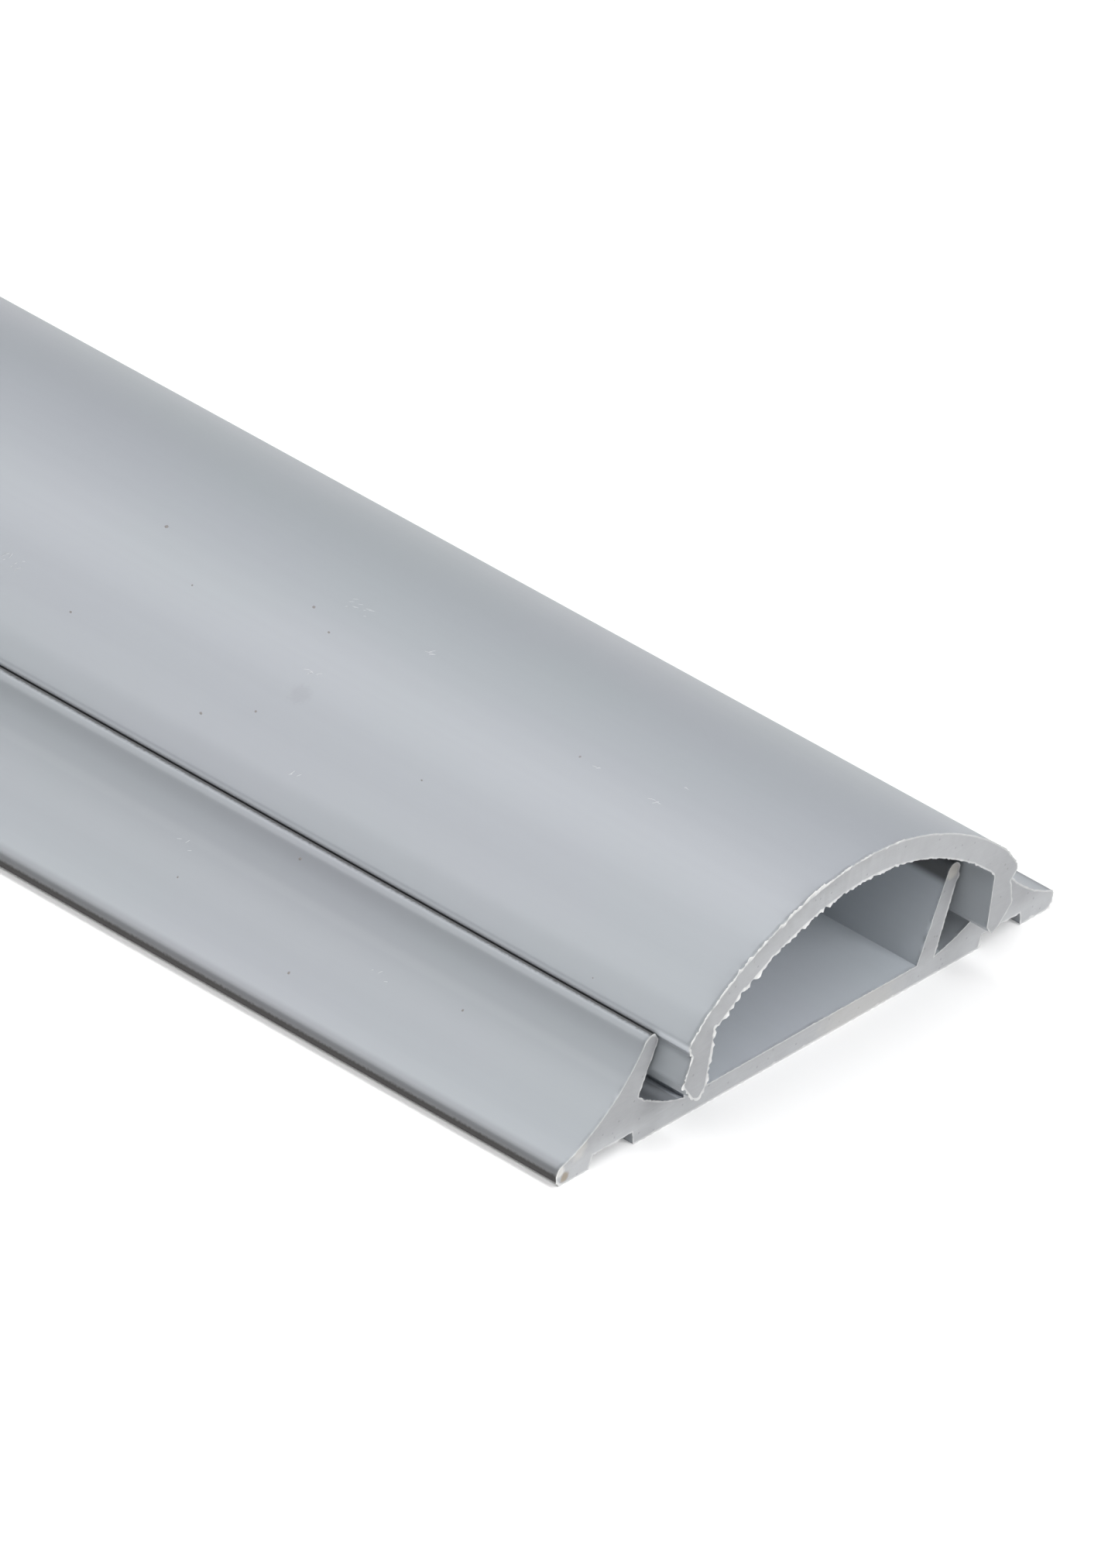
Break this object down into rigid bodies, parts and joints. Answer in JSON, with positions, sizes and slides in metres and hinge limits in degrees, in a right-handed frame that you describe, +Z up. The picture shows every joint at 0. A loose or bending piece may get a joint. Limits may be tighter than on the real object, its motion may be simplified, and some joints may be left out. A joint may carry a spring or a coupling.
{
  "type": "floor cord cover",
  "caption": "Two-piece plastic floor trunking: a low ramped base strip with inner fins, and an arched cover that snaps over the cable channel.",
  "frame": {"origin": "middle of the length and of the width, on the floor that the base lies on", "axes": "+X along the strip towards the end where the cover stands proud, +Y across the strip, +Z up"},
  "size_m": [1.003, 0.06, 0.0187],
  "materials": {
    "base_plastic": "extruded mid grey rigid plastic, satin, with faint lengthwise lines and saw-cut ends",
    "cover_plastic": "extruded mid grey rigid plastic, satin, with faint lengthwise lines and saw-cut ends"
  },
  "bodies": {
    "base": {"floor_base": "base_plastic"},
    "cover": {"snap_cover": "cover_plastic"}
  },
  "joints": [
    {"name": "cover_slide", "type": "slide", "parent": "base", "child": "cover", "axis": [1, 0, 0], "range_m": [-0.95, 0.95]}
  ]
}
